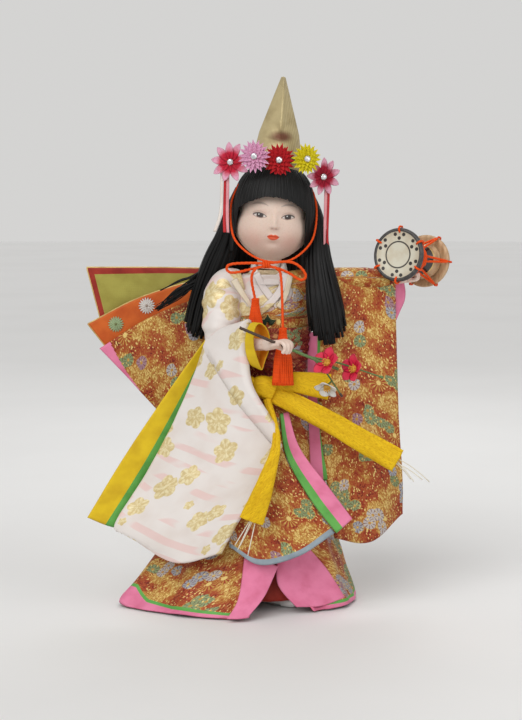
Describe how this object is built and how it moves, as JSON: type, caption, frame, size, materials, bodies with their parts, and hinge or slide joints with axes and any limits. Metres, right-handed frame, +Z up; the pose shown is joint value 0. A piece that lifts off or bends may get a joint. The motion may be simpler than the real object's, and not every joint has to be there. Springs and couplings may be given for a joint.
{
  "type": "dressed dancer doll",
  "caption": "Standing robed dancer doll with a tall gold cap, a hand drum raised in one hand and a flowering branch in the other.",
  "frame": {"origin": "middle of the right sole, on the surface that the doll stands on", "axes": "+Z up, the doll faces -Y, its left hand with the drum points to +X"},
  "size_m": [0.2315, 0.1162, 0.3303],
  "materials": {
    "core": "matte wound straw and paper",
    "peg_wood": "raw wood",
    "sock_white": "matte cotton",
    "skin": "satin shell-white paint",
    "hair": "combed black silk thread",
    "cap_gold": "pale gold foil",
    "wire_green": "paper-wrapped wire",
    "flower_crimson": "stiffened silk",
    "flower_pink": "stiffened silk",
    "flower_red": "stiffened silk",
    "flower_yellow": "stiffened silk",
    "ribbon": "silk ribbon",
    "cord_orange": "twisted silk cord",
    "silk_white": "patterned satin",
    "brocade": "gold brocade",
    "obi_orange": "figured silk",
    "obi_olive": "figured silk",
    "sash_yellow": "crepe",
    "lining_yellow": "plain silk",
    "lining_pink": "plain silk",
    "under_robe": "plain silk",
    "drum_wood": "turned wood",
    "drum_skin": "stretched skin on a dark rim",
    "blossom_pink": "stiffened silk",
    "blossom_white": "stiffened silk"
  },
  "bodies": {
    "figure": {"torso_core": "core", "arm_right": "core", "arm_left": "core", "leg_right": "sock_white", "leg_left": "sock_white", "hair_fall_right": "hair", "hair_fall_left": "hair", "hair_fall_back": "hair", "cord_bow": "cord_orange", "neck_collar": "silk_white", "white_bodice": "silk_white", "right_upper_sleeve": "silk_white", "right_sleeve": "silk_white", "brocade_bodice": "brocade", "left_sleeve": "brocade", "shed_sleeve": "brocade", "robe_skirt": "brocade", "front_drape": "brocade", "obi": "obi_orange", "obi_bow_knot": "obi_orange", "obi_bow_left_fold": "obi_orange", "obi_bow_right_wing": "obi_orange", "obi_bow_left_panel": "obi_olive", "sash_band": "sash_yellow", "sash_bow": "sash_yellow", "sash_tail_left": "sash_yellow", "sash_tail_right": "sash_yellow", "right_cuff": "lining_yellow", "right_sleeve_lining": "lining_yellow", "left_sleeve_lining": "lining_pink", "front_drape_lining": "lining_pink", "hem_flap_left": "lining_pink", "hem_flap_right": "lining_pink", "under_skirt": "under_robe"},
    "head": {"head": "skin", "neck_peg": "peg_wood", "hair_cap": "hair", "court_cap": "cap_gold", "flower_band": "wire_green", "flower_right_end": "flower_crimson", "flower_pink": "flower_pink", "flower_red": "flower_red", "flower_yellow": "flower_yellow", "flower_left_end": "flower_crimson", "chin_cord": "cord_orange"},
    "right_hand": {"hand_right": "skin"},
    "branch": {"branch_stem": "wire_green", "blossom_inner": "blossom_pink", "blossom_outer": "blossom_pink", "blossom_white": "blossom_white"},
    "left_hand": {"hand_left": "skin", "drum_body": "drum_wood", "drum_head_front": "drum_skin", "drum_head_back": "drum_skin", "drum_lacing": "cord_orange"},
    "ribbon_right": {"ribbon_right": "ribbon"},
    "ribbon_left": {"ribbon_left": "ribbon"},
    "tassel_right": {"tassel_right": "cord_orange"},
    "tassel_left": {"tassel_left": "cord_orange"}
  },
  "joints": [
    {"name": "head_turn", "type": "hinge", "parent": "figure", "child": "head", "pos_m": [-0.004, 0.002, 0.212], "axis": [0.0785, 0, 0.9969], "range_deg": [-15, 15]},
    {"name": "right_wrist_turn", "type": "hinge", "parent": "figure", "child": "right_hand", "pos_m": [-0.005, -0.042, 0.169], "axis": [0.7846, -0.6182, 0.0476], "range_deg": [-10, 10]},
    {"name": "branch_slide", "type": "slide", "parent": "right_hand", "child": "branch", "axis": [0.9207, 0, -0.3903], "range_m": [-0.005, 0.008]},
    {"name": "left_wrist_turn", "type": "hinge", "parent": "figure", "child": "left_hand", "pos_m": [0.073, 0.001, 0.206], "axis": [0.9912, -0.1101, -0.0734], "range_deg": [-15, 15]},
    {"name": "ribbon_right_swing", "type": "hinge", "parent": "head", "child": "ribbon_right", "pos_m": [-0.02972, -0.01176, 0.27822], "axis": [-0.2938, -0.9556, 0.0231], "range_deg": [-8, 3]},
    {"name": "ribbon_left_swing", "type": "hinge", "parent": "head", "child": "ribbon_left", "pos_m": [0.03149, -0.0084, 0.26889], "axis": [0.4623, -0.886, -0.0364], "range_deg": [-5, 8]},
    {"name": "tassel_right_swing", "type": "hinge", "parent": "figure", "child": "tassel_right", "pos_m": [-0.0032, -0.0242, 0.2094], "axis": [0, -1, 0], "range_deg": [-3, 4]},
    {"name": "tassel_left_swing", "type": "hinge", "parent": "figure", "child": "tassel_left", "pos_m": [-0.0002, -0.0242, 0.2094], "axis": [0, -0.9707, 0.2402], "range_deg": [-4, 4]}
  ]
}
